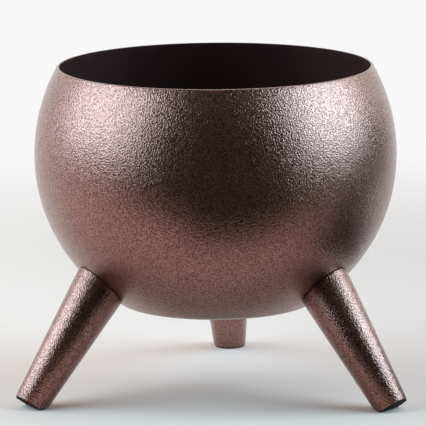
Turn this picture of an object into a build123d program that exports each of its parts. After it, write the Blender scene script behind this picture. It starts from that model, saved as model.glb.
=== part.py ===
from build123d import *
import math
import os

os.makedirs("parts", exist_ok=True)

# Tabletop fire pit: a ball of thin steel, open at the top, on three splayed legs.
# Millimetres, +Z up. The origin is on the ground under the middle of the bowl.
# The front of the pit faces -Y. One leg stands at the back and two stand at the front.

# Bowl
bowl_radius = 120.4            # outside, at its widest ring
bowl_upper_half_height = 120.4    # outside, above the widest ring, as if the ball were whole
bowl_half_height = 117.2       # the same below the widest ring
bowl_centre_z = 158.5          # height of the widest ring above the ground
rim_rise = 59.3                # rim above the widest ring
base_drop = 101.0              # flat base below the widest ring
base_blend = 16.0              # outside radius where the base turns into the wall
bowl_wall = 1.5
rim_round = 0.5                # trimmed edge, rounded so that it doesn't cut

# Legs: tapered tubes, coped to the bowl at the top
leg_count = 3
first_leg_angle = 90.0         # degrees from +X, so that one leg is at the back
foot_reach = 137.5             # middle of the square-cut end, from the bowl's axis
foot_rise = 2.3                # the same point above the ground
leg_lean = 34.8                # degrees from upright
foot_end_radius = 11.1
leg_half_taper = 4.3           # degrees
leg_wall = 1.5
leg_extent = 125.0             # long enough to run into the bowl before it is coped
cope_gap = 0.2                 # thickness of the coating between leg and bowl

# Foot plugs: moulded caps in the lower ends of the legs
sole_thickness = 0.8
plug_depth = 12.0
plug_inset = 0.5               # sole inside the outline of the tube

# Fixing of each leg: an M6 bolt from inside the bowl into a nut on the leg's top plate
plate_thickness = 3.0
hole_radius = 3.3
thread_radius = 2.95           # bolt shank and nut, drawn without the thread
bolt_length = 16.0
head_flats = 10.0
head_height = 4.0
nut_height = 5.0
washer_radius = 6.25
washer_thickness = 1.6
lock_washer_radius = 5.6
lock_washer_thickness = 1.6
lock_washer_split = 1.2
lock_washer_slant = 25.0       # degrees

# Grate: welded round wire that rests on the curved wall below the widest ring
grate_ring_radius = 94.5       # middle of the ring's wire
grate_ring_wire = 2.5          # wire radius
grate_bar_wire = 2.0
grate_rod_wire = 2.0
grate_bar_pitch = 13.0
grate_bars_each_side = 6       # bars on each side of the middle one
grate_bar_overhang = 1.0       # past the middle of the ring's wire
grate_rod_offset = 42.0        # cross rods from the middle
weld_sink = 0.5                # how far the crossing wires are welded into each other
wall_clearance = 0.3           # between the ring and the bowl

everywhere = 600.0             # side of the blocks that trim to a half-space


def save(solid, node):
    solid.label = node
    export_step(solid, f"parts/{node}.step")


def ellipse_radius(half_width, half_height, rise):
    return half_width * math.sqrt(1 - (rise / half_height) ** 2)


def ball(shrink, top_rise, bottom_drop, blend):
    """A ball cut flat at both ends, with a flatter lower half and its lower edge rounded."""
    width = bowl_radius - shrink
    above = Pos(0, everywhere / 2) * Rectangle(everywhere, everywhere)
    below = Pos(0, -everywhere / 2) * Rectangle(everywhere, everywhere)
    upper = Ellipse(width, bowl_upper_half_height - shrink) & above
    lower = Ellipse(width, bowl_half_height - shrink) & below
    outline = Plane.XZ * (upper + lower)
    height = top_rise + bottom_drop
    strip = Plane.XZ * Pos(bowl_radius, top_rise - height / 2) * Rectangle(2 * bowl_radius, height)
    half = outline & strip
    corner = half.vertices().filter_by(lambda v: v.X > 1).sort_by(Axis.Z)[0]
    half = fillet(corner, blend)
    return Pos(0, 0, bowl_centre_z) * revolve(half, Axis.Z)


def half_space(plane):
    """Everything on the side that the plane's normal points to."""
    return plane * Pos(0, 0, everywhere / 2) * Box(everywhere, everywhere, everywhere)


# Each leg is made at the angle 0, in the XZ plane, and then turned to its place.
lean = math.radians(leg_lean)
leg_up = Vector(-math.sin(lean), 0, math.cos(lean))
foot_point = Vector(foot_reach, 0, foot_rise)
foot_plane = Plane(origin=foot_point, x_dir=(0, 1, 0), z_dir=leg_up)


def leg_cone(inset, below, above):
    """A solid cone along the leg's axis, from below to above the square-cut end."""
    slope = math.tan(math.radians(leg_half_taper))
    low = foot_end_radius - inset - slope * below
    high = foot_end_radius - inset + slope * above
    middle = (above - below) / 2
    return foot_plane * Pos(0, 0, middle) * Cone(low, high, below + above)


def fixing_point():
    """Where the leg's axis meets the outside of the bowl, and the outward normal there."""
    low = 0.0
    high = leg_extent
    for _ in range(60):
        middle = (low + high) / 2
        point = foot_point + leg_up * middle
        across = point.X / bowl_radius
        up = (point.Z - bowl_centre_z) / bowl_half_height
        if across ** 2 + up ** 2 > 1:
            low = middle
        else:
            high = middle
    normal = Vector(point.X / bowl_radius ** 2, 0, (point.Z - bowl_centre_z) / bowl_half_height ** 2)
    return point, normal.normalized()


fixing, outward = fixing_point()
fixing_plane = Plane(origin=fixing, x_dir=(0, 1, 0), z_dir=outward)


def turned(solid, index):
    return Rot(0, 0, first_leg_angle + index * 360.0 / leg_count) * solid


def along_fixing(solid, low):
    """Stands a solid that is centred on its own middle on the level low of the bolt's axis."""
    height = solid.bounding_box().size.Z
    return fixing_plane * Pos(0, 0, low + height / 2) * solid


def make_bowl():
    outside = ball(0, rim_rise, base_drop, base_blend)
    inside = ball(bowl_wall, rim_rise + 1, base_drop - bowl_wall, base_blend - bowl_wall)
    bowl = outside - inside
    rim_edges = bowl.edges().filter_by(GeomType.CIRCLE).group_by(Axis.Z)[-1]
    bowl = fillet(rim_edges, rim_round)
    for index in range(leg_count):
        hole = fixing_plane * Cylinder(hole_radius, 8 * bowl_wall)
        bowl -= turned(hole, index)
    return bowl


def make_leg():
    """A tapered tube, coped to the bowl, cut square at its toe and flat where it stands."""
    leg = leg_cone(0, 30, leg_extent) - leg_cone(leg_wall, 31, leg_extent + 1)
    leg &= half_space(foot_plane)
    leg &= half_space(Plane.XY.offset(sole_thickness))
    return leg - ball(-cope_gap, rim_rise, base_drop + cope_gap, base_blend)


def make_foot_plug():
    """A cap: a spigot inside the tube and a thin sole that the pit stands on."""
    above_ground = half_space(Plane.XY)
    below_cut = half_space(foot_plane.offset(-sole_thickness))
    spigot = leg_cone(leg_wall, 30, plug_depth) & above_ground & below_cut
    sole = leg_cone(plug_inset, 30, plug_depth) & above_ground & below_cut
    tube_zone = half_space(foot_plane) & half_space(Plane.XY.offset(sole_thickness))
    return spigot + (sole - tube_zone)


def make_leg_plate():
    """The plate welded across the top of the leg, touching the bowl at its middle."""
    disc = along_fixing(Cylinder(2 * washer_radius + 10, plate_thickness), 0)
    plate = disc & leg_cone(leg_wall, 0, leg_extent)
    return plate - fixing_plane * Cylinder(hole_radius, 8 * plate_thickness)


def hexagon(height, bore):
    """A hexagon prism with its outer corners turned off at both ends."""
    corner = head_flats / math.sqrt(3)
    prism = extrude(RegularPolygon(head_flats / 2, 6, major_radius=False), height / 2, both=True)
    blank = Cylinder(corner, height)
    blank = chamfer(blank.edges().filter_by(GeomType.CIRCLE), 0.4)
    solid = prism & blank
    if bore:
        solid -= Cylinder(bore, 2 * height)
    return solid


def make_leg_nut():
    return along_fixing(hexagon(nut_height, thread_radius), plate_thickness)


# The flat washer bridges the hollow of the wall, so it stands off it by the sagitta.
seat = -bowl_wall - washer_radius ** 2 / (2 * (bowl_half_height - bowl_wall)) - 0.02
lock_seat = seat - washer_thickness
head_seat = lock_seat - lock_washer_thickness


def make_leg_washer():
    ring = Cylinder(washer_radius, washer_thickness) - Cylinder(hole_radius, 2 * washer_thickness)
    return along_fixing(ring, lock_seat)


def make_lock_washer():
    """A spring washer: a square-section ring with a slanted split."""
    ring = Cylinder(lock_washer_radius, lock_washer_thickness)
    ring -= Cylinder(hole_radius, 2 * lock_washer_thickness)
    split = Box(lock_washer_split, lock_washer_radius, 3 * lock_washer_thickness)
    split = Pos(0, lock_washer_radius, 0) * Rot(0, lock_washer_slant, 0) * split
    return along_fixing(ring - split, head_seat)


def make_leg_bolt():
    head = along_fixing(hexagon(head_height, 0), head_seat - head_height)
    shank = Cylinder(thread_radius, bolt_length)
    tip = shank.edges().filter_by(GeomType.CIRCLE).sort_by(Axis.Z)[-1]
    shank = chamfer(tip, 0.6)
    return head + along_fixing(shank, head_seat)


# The grate's ring rests where a wire of its thickness just clears the inside of the wall.
shrink = bowl_wall + wall_clearance + grate_ring_wire
grate_level = bowl_centre_z - ellipse_radius(
    bowl_half_height - shrink, bowl_radius - shrink, grate_ring_radius
)
bar_level = grate_level + grate_ring_wire + grate_bar_wire - weld_sink
rod_level = bar_level - grate_bar_wire - grate_rod_wire + weld_sink


def make_grate_ring():
    return Pos(0, 0, grate_level) * Torus(grate_ring_radius, grate_ring_wire)


def make_grate_rod(x):
    length = 2 * math.sqrt(grate_ring_radius ** 2 - x ** 2)
    rod = Pos(x, 0, rod_level) * Rot(90, 0, 0) * Cylinder(grate_rod_wire, length)
    return rod - make_grate_ring()


def make_grate_bar(y):
    """A bar along X, welded down on the ring and on both cross rods."""
    reach = grate_ring_radius + grate_bar_overhang
    length = 2 * math.sqrt(reach ** 2 - y ** 2)
    bar = Pos(0, y, bar_level) * Rot(0, 90, 0) * Cylinder(grate_bar_wire, length)
    bar -= make_grate_ring()
    for x in (-grate_rod_offset, grate_rod_offset):
        bar -= Pos(x, 0, rod_level) * Rot(90, 0, 0) * Cylinder(grate_rod_wire, 2 * reach)
    return bar


save(make_bowl(), "bowl")

leg_parts = {
    "leg": make_leg(),
    "foot_plug": make_foot_plug(),
    "leg_plate": make_leg_plate(),
    "leg_nut": make_leg_nut(),
    "leg_bolt": make_leg_bolt(),
    "leg_washer": make_leg_washer(),
    "leg_lock_washer": make_lock_washer(),
}
for name, solid in leg_parts.items():
    for index in range(leg_count):
        save(turned(solid, index), f"{name}_{index + 1}")

save(make_grate_ring(), "grate_ring")
for index, x in enumerate((-grate_rod_offset, grate_rod_offset)):
    save(make_grate_rod(x), f"grate_rod_{index + 1}")
for index in range(-grate_bars_each_side, grate_bars_each_side + 1):
    save(make_grate_bar(index * grate_bar_pitch), f"grate_bar_{index + grate_bars_each_side + 1}")
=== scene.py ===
import bmesh
import bpy
import math
import random
from mathutils import Matrix, Vector


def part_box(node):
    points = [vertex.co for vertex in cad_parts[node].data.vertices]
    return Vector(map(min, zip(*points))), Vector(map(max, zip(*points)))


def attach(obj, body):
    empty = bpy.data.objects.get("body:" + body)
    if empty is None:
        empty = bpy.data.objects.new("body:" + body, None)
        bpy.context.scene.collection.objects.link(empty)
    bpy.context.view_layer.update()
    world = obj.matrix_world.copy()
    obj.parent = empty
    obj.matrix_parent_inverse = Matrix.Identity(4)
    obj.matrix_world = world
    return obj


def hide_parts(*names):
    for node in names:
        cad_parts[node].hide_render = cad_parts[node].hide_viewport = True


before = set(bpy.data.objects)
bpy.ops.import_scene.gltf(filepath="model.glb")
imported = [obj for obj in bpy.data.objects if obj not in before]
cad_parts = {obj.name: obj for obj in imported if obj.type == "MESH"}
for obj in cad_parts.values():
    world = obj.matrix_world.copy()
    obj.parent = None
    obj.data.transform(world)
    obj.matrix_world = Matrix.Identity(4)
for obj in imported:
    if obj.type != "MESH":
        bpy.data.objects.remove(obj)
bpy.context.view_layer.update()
mm = 0.001               # every length below is in metres
same = 0.001 * mm        # points closer than this are one point
legCount = sum(name.startswith("foot_plug_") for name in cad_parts)
barCount = sum(name.startswith("grate_bar_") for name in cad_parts)
print("frame loaded:", len(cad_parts), "nodes,", legCount, "legs,", barCount, "bars")


# sRGB hex to the linear colour that a shader takes
def linear(hexText):
    channels = [int(hexText[i:i + 2], 16) / 255 for i in (1, 3, 5)]
    return [c / 12.92 if c <= 0.04045 else ((c + 0.055) / 1.055) ** 2.4 for c in channels] + [1.0]


# adds one node: settings are input values or properties, links are input name to output socket
def addNode(tree, kind, settings=None, links=None):
    node = tree.nodes.new(kind)
    for name, value in (settings or {}).items():
        if hasattr(node, name):
            setattr(node, name, value)
        else:
            node.inputs[name].default_value = value
    for name, socket in (links or {}).items():
        tree.links.new(socket, node.inputs[name])
    return node


def newMaterial(name):
    material = bpy.data.materials.new(name)
    material.use_nodes = True
    tree = material.node_tree
    tree.nodes.clear()
    shader = addNode(tree, "ShaderNodeBsdfPrincipled")
    addNode(tree, "ShaderNodeOutputMaterial", links={"Surface": shader.outputs[0]})
    place = addNode(tree, "ShaderNodeTexCoord").outputs["Object"]
    return material, tree, shader, place


# Hammertone powder coat on steel: a bronze metallic resin that pulls itself into small lumps while
# it bakes. The eye sees pinkish-brown lumps that glint one by one, with dark brown veins between them,
# and a clear skin over both that turns pale at the edges of the form.
hammertone = {
    "lump": 0.95 * mm,           # half the way from lump to lump
    "relief": 0.125 * mm,
    "lumpColour": "#9e5b46",
    "veinColour": "#572e22",
    "roughness": 0.31,
    "coatWithPitShade": (0.5, 1.0),          # the coat is weaker down in the veins: painted shade in the pits
    "coatRoughness": 0.25,
    "coatIor": 1.75,
}


def makeHammertone():
    h = hammertone
    material, tree, shader, place = newMaterial("hammertonePowderCoat")
    lumps = addNode(tree, "ShaderNodeTexNoise", {"Scale": 1 / h["lump"], "Detail": 0.0}, {"Vector": place})
    height = addNode(tree, "ShaderNodeMapRange", {"From Min": 0.3, "From Max": 0.7},
                     {"Value": lumps.outputs["Fac"]})
    colour = addNode(tree, "ShaderNodeMix", {"data_type": "RGBA"})
    tree.links.new(height.outputs["Result"], colour.inputs["Factor"])
    colour.inputs[6].default_value = linear(h["veinColour"])
    colour.inputs[7].default_value = linear(h["lumpColour"])
    # painted shade: the coat weight drops with the height, so the veins shine less, as if shadowed
    coatPaintedPitShade = addNode(tree, "ShaderNodeMapRange", {"To Min": h["coatWithPitShade"][0], "To Max": h["coatWithPitShade"][1]},
                   {"Value": height.outputs["Result"]})
    bump = addNode(tree, "ShaderNodeBump", {"Strength": 1.0, "Distance": h["relief"]},
                   {"Height": height.outputs["Result"]})
    tree.links.new(colour.outputs[2], shader.inputs["Base Color"])
    tree.links.new(bump.outputs["Normal"], shader.inputs["Normal"])
    tree.links.new(bump.outputs["Normal"], shader.inputs["Coat Normal"])
    shader.inputs["Metallic"].default_value = 1.0
    shader.inputs["Roughness"].default_value = h["roughness"]
    tree.links.new(coatPaintedPitShade.outputs["Result"], shader.inputs["Coat Weight"])
    shader.inputs["Coat Roughness"].default_value = h["coatRoughness"]
    shader.inputs["Coat IOR"].default_value = h["coatIor"]
    return material


# Heat-resistant stove paint: sprayed, dead matt, very dark, with a fine dry grain.
stovePaint = {"grain": 0.5 * mm, "cloud": 30 * mm, "colour": "#38201d", "dusty": "#432723", "roughness": 0.8,
              "shine": 0.04, "relief": 0.03 * mm}


def makeStovePaint():
    s = stovePaint
    material, tree, shader, place = newMaterial("stovePaintBlack")
    grain = addNode(tree, "ShaderNodeTexNoise", {"Scale": 1 / s["grain"], "Detail": 2.0}, {"Vector": place})
    cloud = addNode(tree, "ShaderNodeTexNoise", {"Scale": 1 / s["cloud"], "Detail": 3.0}, {"Vector": place})
    colour = addNode(tree, "ShaderNodeMix", {"data_type": "RGBA"})
    tree.links.new(cloud.outputs["Fac"], colour.inputs["Factor"])
    colour.inputs[6].default_value = linear(s["colour"])
    colour.inputs[7].default_value = linear(s["dusty"])
    bump = addNode(tree, "ShaderNodeBump", {"Strength": 0.6, "Distance": s["relief"]},
                   {"Height": grain.outputs["Fac"]})
    tree.links.new(colour.outputs[2], shader.inputs["Base Color"])
    tree.links.new(bump.outputs["Normal"], shader.inputs["Normal"])
    shader.inputs["Roughness"].default_value = s["roughness"]
    shader.inputs["Specular IOR Level"].default_value = s["shine"]
    return material


# Moulded rubber: nearly black, dull, with a faint bloom.
rubber = {"grain": 0.8 * mm, "colour": "#120e0c", "bloom": "#1f1916", "roughness": 0.85, "shine": 0.15}


def makeRubber():
    r = rubber
    material, tree, shader, place = newMaterial("mouldedRubber")
    grain = addNode(tree, "ShaderNodeTexNoise", {"Scale": 1 / r["grain"], "Detail": 3.0}, {"Vector": place})
    colour = addNode(tree, "ShaderNodeMix", {"data_type": "RGBA"})
    tree.links.new(grain.outputs["Fac"], colour.inputs["Factor"])
    colour.inputs[6].default_value = linear(r["colour"])
    colour.inputs[7].default_value = linear(r["bloom"])
    tree.links.new(colour.outputs[2], shader.inputs["Base Color"])
    shader.inputs["Roughness"].default_value = r["roughness"]
    shader.inputs["Specular IOR Level"].default_value = r["shine"]
    return material


# Bright zinc plate on steel: cool grey, softly cloudy from the plating bath.
zinc = {"cloud": 3 * mm, "colour": "#8f9296", "pale": "#b9bbbd", "roughness": 0.36}


def makeZinc():
    z = zinc
    material, tree, shader, place = newMaterial("brightZincPlate")
    cloud = addNode(tree, "ShaderNodeTexNoise", {"Scale": 1 / z["cloud"], "Detail": 4.0}, {"Vector": place})
    colour = addNode(tree, "ShaderNodeMix", {"data_type": "RGBA"})
    tree.links.new(cloud.outputs["Fac"], colour.inputs["Factor"])
    colour.inputs[6].default_value = linear(z["colour"])
    colour.inputs[7].default_value = linear(z["pale"])
    tree.links.new(colour.outputs[2], shader.inputs["Base Color"])
    shader.inputs["Metallic"].default_value = 1.0
    shader.inputs["Roughness"].default_value = z["roughness"]
    return material


# Heat-resistant coat on the grate's wire: black, thicker than the bowl's paint, with a dull silky shine
# and a faint brown cast where it has been hot.
wireCoat = {"patch": 14 * mm, "dip": 0.7 * mm, "colour": "#171412", "browned": "#2b211c", "roughness": 0.52,
            "shine": 0.3, "relief": 0.04 * mm}


def makeWireCoat():
    w = wireCoat
    material, tree, shader, place = newMaterial("heatProofWireCoat")
    patch = addNode(tree, "ShaderNodeTexNoise", {"Scale": 1 / w["patch"], "Detail": 3.0}, {"Vector": place})
    spread = addNode(tree, "ShaderNodeMapRange", {"From Min": 0.35, "From Max": 0.65},
                     {"Value": patch.outputs["Fac"]})
    dip = addNode(tree, "ShaderNodeTexNoise", {"Scale": 1 / w["dip"], "Detail": 2.0}, {"Vector": place})
    colour = addNode(tree, "ShaderNodeMix", {"data_type": "RGBA"})
    tree.links.new(spread.outputs["Result"], colour.inputs["Factor"])
    colour.inputs[6].default_value = linear(w["colour"])
    colour.inputs[7].default_value = linear(w["browned"])
    bump = addNode(tree, "ShaderNodeBump", {"Strength": 0.6, "Distance": w["relief"]},
                   {"Height": dip.outputs["Fac"]})
    tree.links.new(colour.outputs[2], shader.inputs["Base Color"])
    tree.links.new(bump.outputs["Normal"], shader.inputs["Normal"])
    shader.inputs["Roughness"].default_value = w["roughness"]
    shader.inputs["Specular IOR Level"].default_value = w["shine"]
    return material


hammertoneCoat = makeHammertone()
wireBlack = makeWireCoat()
blackPaint = makeStovePaint()
blackRubber = makeRubber()
zincPlate = makeZinc()
print("materials made")


def finishPiece(bm, name, body, materials, replaced, sharp=math.radians(35)):
    mesh = bpy.data.meshes.new(name)
    for face in bm.faces:
        face.smooth = True
    bm.to_mesh(mesh)
    bm.free()
    mesh.set_sharp_from_angle(angle=sharp)
    for material in materials:
        mesh.materials.append(material)
    piece = bpy.data.objects.new(name, mesh)
    bpy.context.scene.collection.objects.link(piece)
    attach(piece, body)
    if replaced:
        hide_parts(*replaced)
    return piece


bowlLow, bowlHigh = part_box("bowl")
bowl = {
    "radius": 120.4 * mm,        # outside, at the widest ring
    "upperHalf": 120.4 * mm,     # outside half-heights above and below that ring, as if the ball were whole
    "lowerHalf": 117.2 * mm,
    "centreHeight": 158.5 * mm,
    "wall": 1.5 * mm,
    "rimRound": 0.5 * mm,
    "baseBlend": 4.4 * mm,       # where the blend starts, from the corner of base and wall
    "paintEdge": 0.3,            # a face is painted black if it turns this much to the bowl's middle
    "rings": 34,
    "segments": 192,
}


# a point of the ball's outline, shrunk by so much, at an angle above its widest ring
def ballPoint(shrink, angle):
    tall = bowl["upperHalf"] if angle > 0 else bowl["lowerHalf"]
    out = (bowl["radius"] - shrink) * math.cos(angle)
    return Vector((out, 0, bowl["centreHeight"] + (tall - shrink) * math.sin(angle)))


def makeBowl():
    b = bowl
    rimRise = bowlHigh.z - b["centreHeight"]
    baseRise = bowlLow.z - b["centreHeight"]
    bm = bmesh.new()

    # one side of the shell, from the middle of its base up to the rim
    def side(shrink, lowRise):
        first = math.asin(lowRise / (b["lowerHalf"] - shrink))
        last = math.asin(rimRise / (b["upperHalf"] - shrink))
        verts = [bm.verts.new((0, 0, b["centreHeight"] + lowRise))]
        for i in range(b["rings"] + 1):
            verts.append(bm.verts.new(ballPoint(shrink, first + (last - first) * i / b["rings"])))
        for low, high in zip(verts, verts[1:]):
            bm.edges.new((low, high))
        return verts
    outside = side(0, baseRise)
    inside = side(b["wall"], baseRise + b["wall"])
    bm.edges.new((outside[-1], inside[-1]))
    corners = [(outside[1].co.copy(), b["baseBlend"]), (inside[1].co.copy(), b["baseBlend"] - b["wall"] / 4)]
    rims = [outside[-1].co.copy(), inside[-1].co.copy()]
    bmesh.ops.spin(bm, geom=bm.verts[:] + bm.edges[:], cent=(0, 0, 0), axis=(0, 0, 1), angle=math.tau,
                   steps=b["segments"], use_merge=True)
    bmesh.ops.remove_doubles(bm, verts=bm.verts, dist=same)
    bmesh.ops.recalc_face_normals(bm, faces=bm.faces)

    def ringEdges(point):
        found = []
        for edge in bm.edges:
            if all(abs(v.co.z - point.z) < same and abs(v.co.xy.length - point.x) < same for v in edge.verts):
                found.append(edge)
        return found
    for point, size in corners:
        bmesh.ops.bevel(bm, geom=ringEdges(point), offset=size, affect="EDGES", segments=6, profile=0.5,
                        material=-1)
    for point in rims:
        bmesh.ops.bevel(bm, geom=ringEdges(point), offset=b["rimRound"], affect="EDGES", segments=3,
                        profile=0.5, material=-1)
    # the inside of the shell is painted black, up over the inner edge of the rim
    middle = Vector((0, 0, b["centreHeight"]))
    for face in bm.faces:
        centre = face.calc_center_median()
        inward = (middle - centre).normalized().dot(face.normal) > b["paintEdge"]
        face.material_index = 1 if inward else 0
    return finishPiece(bm, "bowlShell", "pit", [hammertoneCoat, blackPaint], ["bowl"])


makeBowl()
print("bowl made")

leg = {
    "reach": 137.5 * mm,         # middle of the square-cut end, from the bowl's axis
    "rise": 2.3 * mm,            # the same point above the ground
    "lean": math.radians(34.8),
    "endRadius": 11.1 * mm,
    "halfTaper": math.radians(4.3),
    "wall": 1.5 * mm,
    "length": 100 * mm,          # before the top is coped
    "below": 30 * mm,            # what is cut off again under the foot
    "endSplit": 25 * mm,         # the foot's edges are all below this height, the top's above it
    "copeGap": 0.2 * mm,
    "soleHeight": 0.8 * mm,
    "edgeRound": 0.5 * mm,
    "sides": 96,
}
legUp = Vector((-math.sin(leg["lean"]), 0, math.cos(leg["lean"])))
legFoot = Vector((leg["reach"], 0, leg["rise"]))


# how far along a line from start the ball's surface lies
def reachBall(start, step, grown):
    wide, tall = bowl["radius"] + grown, bowl["lowerHalf"] + grown
    squash = Vector((1 / wide, 1 / wide, 1 / tall))
    p = (start - Vector((0, 0, bowl["centreHeight"]))) * squash
    d = step * squash
    a, b, c = d.dot(d), 2 * p.dot(d), p.dot(p) - 1
    return (-b - math.sqrt(b * b - 4 * a * c)) / (2 * a)


def makeLeg(index):
    g = leg
    slope = math.tan(g["halfTaper"])
    below = g["below"]
    depth = g["length"] + below
    stand = Matrix.Translation(legFoot) @ Vector((0, 0, 1)).rotation_difference(legUp).to_matrix().to_4x4()
    bm = bmesh.new()
    for inset in (0, g["wall"]):
        bmesh.ops.create_cone(bm, cap_ends=False, segments=g["sides"], depth=depth,
                              radius1=g["endRadius"] - inset - slope * below,
                              radius2=g["endRadius"] - inset + slope * g["length"],
                              matrix=stand @ Matrix.Translation((0, 0, (g["length"] - below) / 2)))
    # the top of every line along the tube slides to the bowl
    for edge in bm.edges:
        low, high = sorted(edge.verts, key=lambda v: v.co.z)
        if edge.calc_length() > depth / 2:
            high.co = low.co + (high.co - low.co) * reachBall(low.co, high.co - low.co, g["copeGap"])
    for point, normal in ((legFoot, legUp), (Vector((0, 0, g["soleHeight"])), Vector((0, 0, 1)))):
        bmesh.ops.bisect_plane(bm, geom=bm.verts[:] + bm.edges[:] + bm.faces[:], plane_co=point,
                               plane_no=normal, clear_inner=True)
    # a ring of faces joins the two walls at each end
    openEdges = [e for e in bm.edges if e.is_boundary]
    ends = set()
    for high in (True, False):
        loops = [e for e in openEdges if (e.verts[0].co.z > g["endSplit"]) == high]
        ends.update(bmesh.ops.bridge_loops(bm, edges=loops)["faces"])
    bmesh.ops.recalc_face_normals(bm, faces=bm.faces)
    rims = [e for e in bm.edges if len(e.link_faces) == 2 and len(ends.intersection(e.link_faces)) == 1]
    bmesh.ops.bevel(bm, geom=rims, offset=g["edgeRound"], affect="EDGES", segments=2, profile=0.5,
                    material=-1)
    turn = Matrix.Rotation(math.radians(90) + index * math.tau / legCount, 4, "Z")
    bmesh.ops.transform(bm, matrix=turn, verts=bm.verts)
    number = index + 1
    return finishPiece(bm, f"legTube_{number}", "pit", [hammertoneCoat], [f"leg_{number}"])


for index in range(legCount):
    makeLeg(index)
print("legs made")

grate = {
    "wireSides": 24,
    "ringSteps": 160,
    "endRound": 0.5 * mm,
    "bead": (2.6 * mm, 1.5 * mm),    # spot weld, half its width and half its height
    "beadSpread": 0.2,           # no two welds are the same size
    "beadInset": 0.8 * mm,       # a weld on the ring sits this far inside the middle of its wire
}


# straight wire with rounded ends, on the long line of its node's box
def makeWire(name, node):
    low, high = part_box(node)
    span = high - low
    length = max(span)
    radius = min(span) / 2
    middle = (low + high) / 2
    along = Vector((1, 0, 0)) if span.x > span.y else Vector((0, 1, 0))
    turn = Vector((0, 0, 1)).rotation_difference(along).to_matrix().to_4x4()
    bm = bmesh.new()
    bmesh.ops.create_cone(bm, cap_ends=True, segments=grate["wireSides"], radius1=radius, radius2=radius,
                          depth=length, matrix=Matrix.Translation(middle) @ turn)
    rims = [e for e in bm.edges if e.calc_length() < length / 2]
    bmesh.ops.bevel(bm, geom=rims, offset=grate["endRound"], affect="EDGES", segments=3, profile=0.5,
                    material=-1)
    return finishPiece(bm, name, "grate", [wireBlack], [node])


def makeRing():
    low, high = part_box("grate_ring")
    radius = (high.z - low.z) / 2
    middle = (low + high) / 2
    bm = bmesh.new()
    around = Matrix.Translation((high.x - radius, 0, middle.z)) @ Matrix.Rotation(math.radians(90), 4, "X")
    bmesh.ops.create_circle(bm, segments=grate["wireSides"], radius=radius, matrix=around)
    bmesh.ops.spin(bm, geom=bm.verts[:] + bm.edges[:], cent=(0, 0, 0), axis=(0, 0, 1), angle=math.tau,
                   steps=grate["ringSteps"], use_merge=True)
    bmesh.ops.remove_doubles(bm, verts=bm.verts, dist=same)
    bmesh.ops.recalc_face_normals(bm, faces=bm.faces)
    return finishPiece(bm, "grateRing", "grate", [wireBlack], ["grate_ring"])


# a flat blob of weld metal wherever two wires cross
def makeWelds():
    low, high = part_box("grate_ring")
    ringWire = (high.z - low.z) / 2
    ringRadius = high.x - ringWire
    ringTop = high.z
    wide, tall = grate["bead"]
    places = []
    rods = [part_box(f"grate_rod_{n}") for n in (1, 2)]
    rodAt = [(low.x + high.x) / 2 for low, high in rods]
    for number in range(1, barCount + 1):
        low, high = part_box(f"grate_bar_{number}")
        y = (low.y + high.y) / 2
        reach = math.sqrt((ringRadius - grate["beadInset"]) ** 2 - y ** 2)
        places += [(-reach, y, ringTop), (reach, y, ringTop)]
        places += [(x, y, rods[0][1].z) for x in rodAt]
    for x in rodAt:
        reach = math.sqrt(ringRadius ** 2 - x ** 2) - ringWire
        places += [(x, -reach, ringTop - ringWire), (x, reach, ringTop - ringWire)]
    chance = random.Random(7)
    bm = bmesh.new()
    for place in places:
        size = 1 + chance.uniform(-1, 1) * grate["beadSpread"]
        shape = Matrix.Diagonal((wide * size, wide * size, tall * size, 1))
        bmesh.ops.create_icosphere(bm, subdivisions=2, radius=1, matrix=Matrix.Translation(place) @ shape)
    return finishPiece(bm, "grateWelds", "grate", [wireBlack], [])


makeRing()
for name in sorted(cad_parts):
    if name.startswith("grate_rod_"):
        makeWire(name.replace("grate_rod", "grateRod"), name)
    elif name.startswith("grate_bar_"):
        makeWire(name.replace("grate_bar", "grateBar"), name)
makeWelds()
print("grate made")

# the plates, fasteners and plugs keep their CAD shape
for name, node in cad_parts.items():
    if name.startswith("foot_plug"):
        finish = blackRubber
    elif name.startswith(("leg_nut", "leg_bolt", "leg_washer", "leg_lock_washer")):
        finish = zincPlate
    else:
        finish = blackPaint
    node.data.materials.clear()
    node.data.materials.append(finish)


studio = {
    "floorLeft": "#f2d2c1",             # warm, because the softboxes are cool
    # the right side is darker as painted shade, as if less light reached it
    "floorRightWithPaintedShade": "#d7b7a9",
    "floorPaintedShadeSlope": 0.5,                  # the floor darkens from left to right over this far, each side of the middle: painted shade
    "floorShade": (0.01, 0.11, 0.84),   # painted shadow: a darker patch under the bowl fades out between these radii
    "floorShadeAt": (0.01, -0.04, 0),
    "floorSize": 6.0,
    "floorClear": (0.36, 1.0),          # the floor turns into the white background between these radii
    "backgroundGlow": 0.94,
    "backWall": (-0.25, 0.55),          # the room brightens from the front to the back between these
    "frontGlow": 0.01,
    "darkCloths": (                     # left, right, near and far edges, seen from the camera's side
        (-3.0, -0.07, -3.0, -0.28),
        (-0.07, 3.0, -3.0, -0.21),
        (0.17, 0.60, -0.12, 0.12),
        (0.60, 3.0, -0.23, 0.50),
        (-3.0, -0.80, -0.28, 0.10),
    ),
    "clothColour": "#0c0b0b",
    "clothHeight": 1 * mm,
    "darkScreen": ((94, 0.9), (132, 0.9), 0.26),    # its two sides, as turn and distance, and its height
    "softboxes": (                      # turn from the camera's line, elevation, width, power, colour
        (-80.5, 25.4, 1.40, 33.0, "#bae6ff"),
        (83.5, 24.8, 1.17, 34.0, "#b0e4ff"),
        (0, 48.0, 1.60, 0.5, "#ffffff"),
    ),
    "softboxTall": 1.12,
    "softboxFar": 1.3,
}
camera = {
    "distance": 3.377,           # level distance from the bowl's axis
    "height": 0.7295,
    "turn": math.radians(3.7),   # to the right of the front
    "aside": math.radians(0.034),
    "pitch": math.radians(10.257),
    "roll": math.radians(-0.45),
    "lens": 435.5,
}


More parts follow.
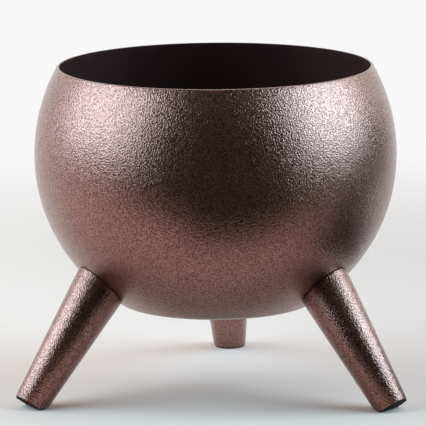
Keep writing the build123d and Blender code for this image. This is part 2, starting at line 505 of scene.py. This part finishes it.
def stagePiece(name, material, size):
    bm = bmesh.new()
    bmesh.ops.create_grid(bm, x_segments=1, y_segments=1, size=size)
    mesh = bpy.data.meshes.new(name)
    bm.to_mesh(mesh)
    bm.free()
    mesh.materials.append(material)
    thing = bpy.data.objects.new(name, mesh)
    bpy.context.scene.collection.objects.link(thing)
    return thing


# a pale floor that fades to a white background all round, so that no edge of it shows; its colour holds
# painted shade, darker to the right, and a painted shadow under the bowl
def makeFloor():
    smooth = "SMOOTHSTEP"
    slope = studio["floorPaintedShadeSlope"]
    shadeNear, shadeFar, shadeDepth = studio["floorShade"]
    clearNear, clearFar = studio["floorClear"]
    material, tree, shader, place = newMaterial("paleFloor")
    shader.inputs["Roughness"].default_value = 1.0
    shader.inputs["Specular IOR Level"].default_value = 0.0
    across = addNode(tree, "ShaderNodeSeparateXYZ", links={"Vector": place})
    # painted shade: the floor's colour darkens from left to right
    side = addNode(tree, "ShaderNodeMapRange",
                   {"From Min": -slope, "From Max": slope, "interpolation_type": smooth},
                   {"Value": across.outputs["X"]})
    colour = addNode(tree, "ShaderNodeMix", {"data_type": "RGBA"})
    tree.links.new(side.outputs["Result"], colour.inputs["Factor"])
    colour.inputs[6].default_value = linear(studio["floorLeft"])
    colour.inputs[7].default_value = linear(studio["floorRightWithPaintedShade"])
    # painted shadow of the bowl: the floor's colour darkens in a patch under it
    gap = addNode(tree, "ShaderNodeVectorMath", {"operation": "DISTANCE"}, {"Vector": place})
    gap.inputs[1].default_value = studio["floorShadeAt"]
    shade = addNode(tree, "ShaderNodeMapRange",
                    {"From Min": shadeNear, "From Max": shadeFar, "To Min": shadeDepth, "To Max": 1.0,
                     "interpolation_type": smooth},
                    {"Value": gap.outputs["Value"]})
    shaded = addNode(tree, "ShaderNodeVectorMath", {"operation": "SCALE"},
                     {"Vector": colour.outputs[2], "Scale": shade.outputs["Result"]})
    tree.links.new(shaded.outputs["Vector"], shader.inputs["Base Color"])
    radius = addNode(tree, "ShaderNodeVectorMath", {"operation": "LENGTH"}, {"Vector": place})
    fade = addNode(tree, "ShaderNodeMapRange",
                   {"From Min": clearNear, "From Max": clearFar, "interpolation_type": smooth},
                   {"Value": radius.outputs["Value"]})
    glow = addNode(tree, "ShaderNodeEmission", {"Strength": studio["backgroundGlow"]})
    both = addNode(tree, "ShaderNodeMixShader", None, {"Fac": fade.outputs["Result"]})
    tree.links.new(shader.outputs[0], both.inputs[1])
    tree.links.new(glow.outputs[0], both.inputs[2])
    output = next(n for n in tree.nodes if n.type == "OUTPUT_MATERIAL")
    tree.links.new(both.outputs[0], output.inputs["Surface"])
    stagePiece("floor", material, studio["floorSize"])


def hideFromEye(thing):
    thing.visible_camera = False
    thing.visible_diffuse = False
    thing.visible_shadow = False
    thing.visible_transmission = False


# dark cloths in front of the table and to its right, which only the metal's reflections see
def makeDarkCloths():
    material, tree, shader, place = newMaterial("darkCloth")
    shader.inputs["Base Color"].default_value = linear(studio["clothColour"])
    shader.inputs["Roughness"].default_value = 1.0
    for left, right, near, far in studio["darkCloths"]:
        cloth = stagePiece("darkCloth", material, 0.5)
        place = Matrix.Translation(((left + right) / 2, (near + far) / 2, studio["clothHeight"]))
        size = Matrix.Diagonal((right - left, far - near, 1, 1))
        cloth.data.transform(Matrix.Rotation(camera["turn"], 4, "Z") @ place @ size)
        hideFromEye(cloth)
    makeDarkScreen(material)


# a low dark screen stands behind the right-hand cloth
def makeDarkScreen(material):
    start, end, tall = studio["darkScreen"]
    feet = []
    for turn, far in (start, end):
        around = camera["turn"] + math.radians(turn)
        feet.append(Vector((math.sin(around) * far, -math.cos(around) * far, 0)))
    screen = stagePiece("darkScreen", material, 0.5)
    along = feet[1] - feet[0]
    stand = Matrix.Translation((feet[0] + feet[1]) / 2 + Vector((0, 0, tall / 2)))
    face = Matrix.Rotation(math.atan2(along.y, along.x), 4, "Z") @ Matrix.Rotation(math.radians(90), 4, "X")
    screen.data.transform(stand @ face @ Matrix.Diagonal((along.length, tall, 1, 1)))
    hideFromEye(screen)


def makeSoftbox(turn, elevation, width, power, colour):
    light = bpy.data.lights.new("softbox", "AREA")
    light.shape = "RECTANGLE"
    light.size, light.size_y = width, studio["softboxTall"]
    light.energy = power
    light.color = linear(colour)[:3]
    lamp = bpy.data.objects.new("softbox", light)
    around = camera["turn"] + math.radians(turn)
    up = math.radians(elevation)
    middle = Vector((0, 0, bowl["centreHeight"]))
    away = Vector((math.sin(around) * math.cos(up), -math.cos(around) * math.cos(up), math.sin(up)))
    place = middle + away * studio["softboxFar"]
    lamp.matrix_world = Matrix.Translation(place) @ (-away).to_track_quat("-Z", "Y").to_matrix().to_4x4()
    lamp.visible_camera = False
    bpy.context.scene.collection.objects.link(lamp)


def makeWorld():
    world = bpy.data.worlds.new("studioAir")
    world.use_nodes = True
    tree = world.node_tree
    tree.nodes.clear()
    direction = addNode(tree, "ShaderNodeTexCoord").outputs["Generated"]
    parts = addNode(tree, "ShaderNodeSeparateXYZ", links={"Vector": direction})
    dim, bright = studio["backWall"]
    back = addNode(tree, "ShaderNodeMapRange",
                   {"From Min": dim, "From Max": bright, "To Min": studio["frontGlow"], "To Max": 1.0,
                    "interpolation_type": "SMOOTHSTEP"},
                   {"Value": parts.outputs["Y"]})
    seen = addNode(tree, "ShaderNodeLightPath").outputs["Is Camera Ray"]
    strength = addNode(tree, "ShaderNodeMix", {"data_type": "FLOAT"})
    tree.links.new(seen, strength.inputs["Factor"])
    tree.links.new(back.outputs["Result"], strength.inputs[2])
    strength.inputs[3].default_value = studio["backgroundGlow"]
    air = addNode(tree, "ShaderNodeBackground", {"Color": (1, 1, 1, 1)}, {"Strength": strength.outputs[0]})
    addNode(tree, "ShaderNodeOutputWorld", links={"Surface": air.outputs[0]})
    bpy.context.scene.world = world


def makeCamera():
    c = camera
    data = bpy.data.cameras.new("camera")
    data.lens = c["lens"]
    data.sensor_width = 36
    data.clip_end = 50
    view = bpy.data.objects.new("camera", data)
    place = Matrix.Rotation(c["turn"], 4, "Z") @ Matrix.Translation((0, -c["distance"], c["height"]))
    aim = Matrix.Rotation(c["aside"], 4, "Z") @ Matrix.Rotation(math.radians(90) - c["pitch"], 4, "X")
    view.matrix_world = place @ aim @ Matrix.Rotation(c["roll"], 4, "Z")
    bpy.context.scene.collection.objects.link(view)
    bpy.context.scene.camera = view


makeFloor()
makeDarkCloths()
for softbox in studio["softboxes"]:
    makeSoftbox(*softbox)
makeWorld()
makeCamera()
bpy.context.scene.view_settings.view_transform = "Standard"
print("stage, lights and camera made")
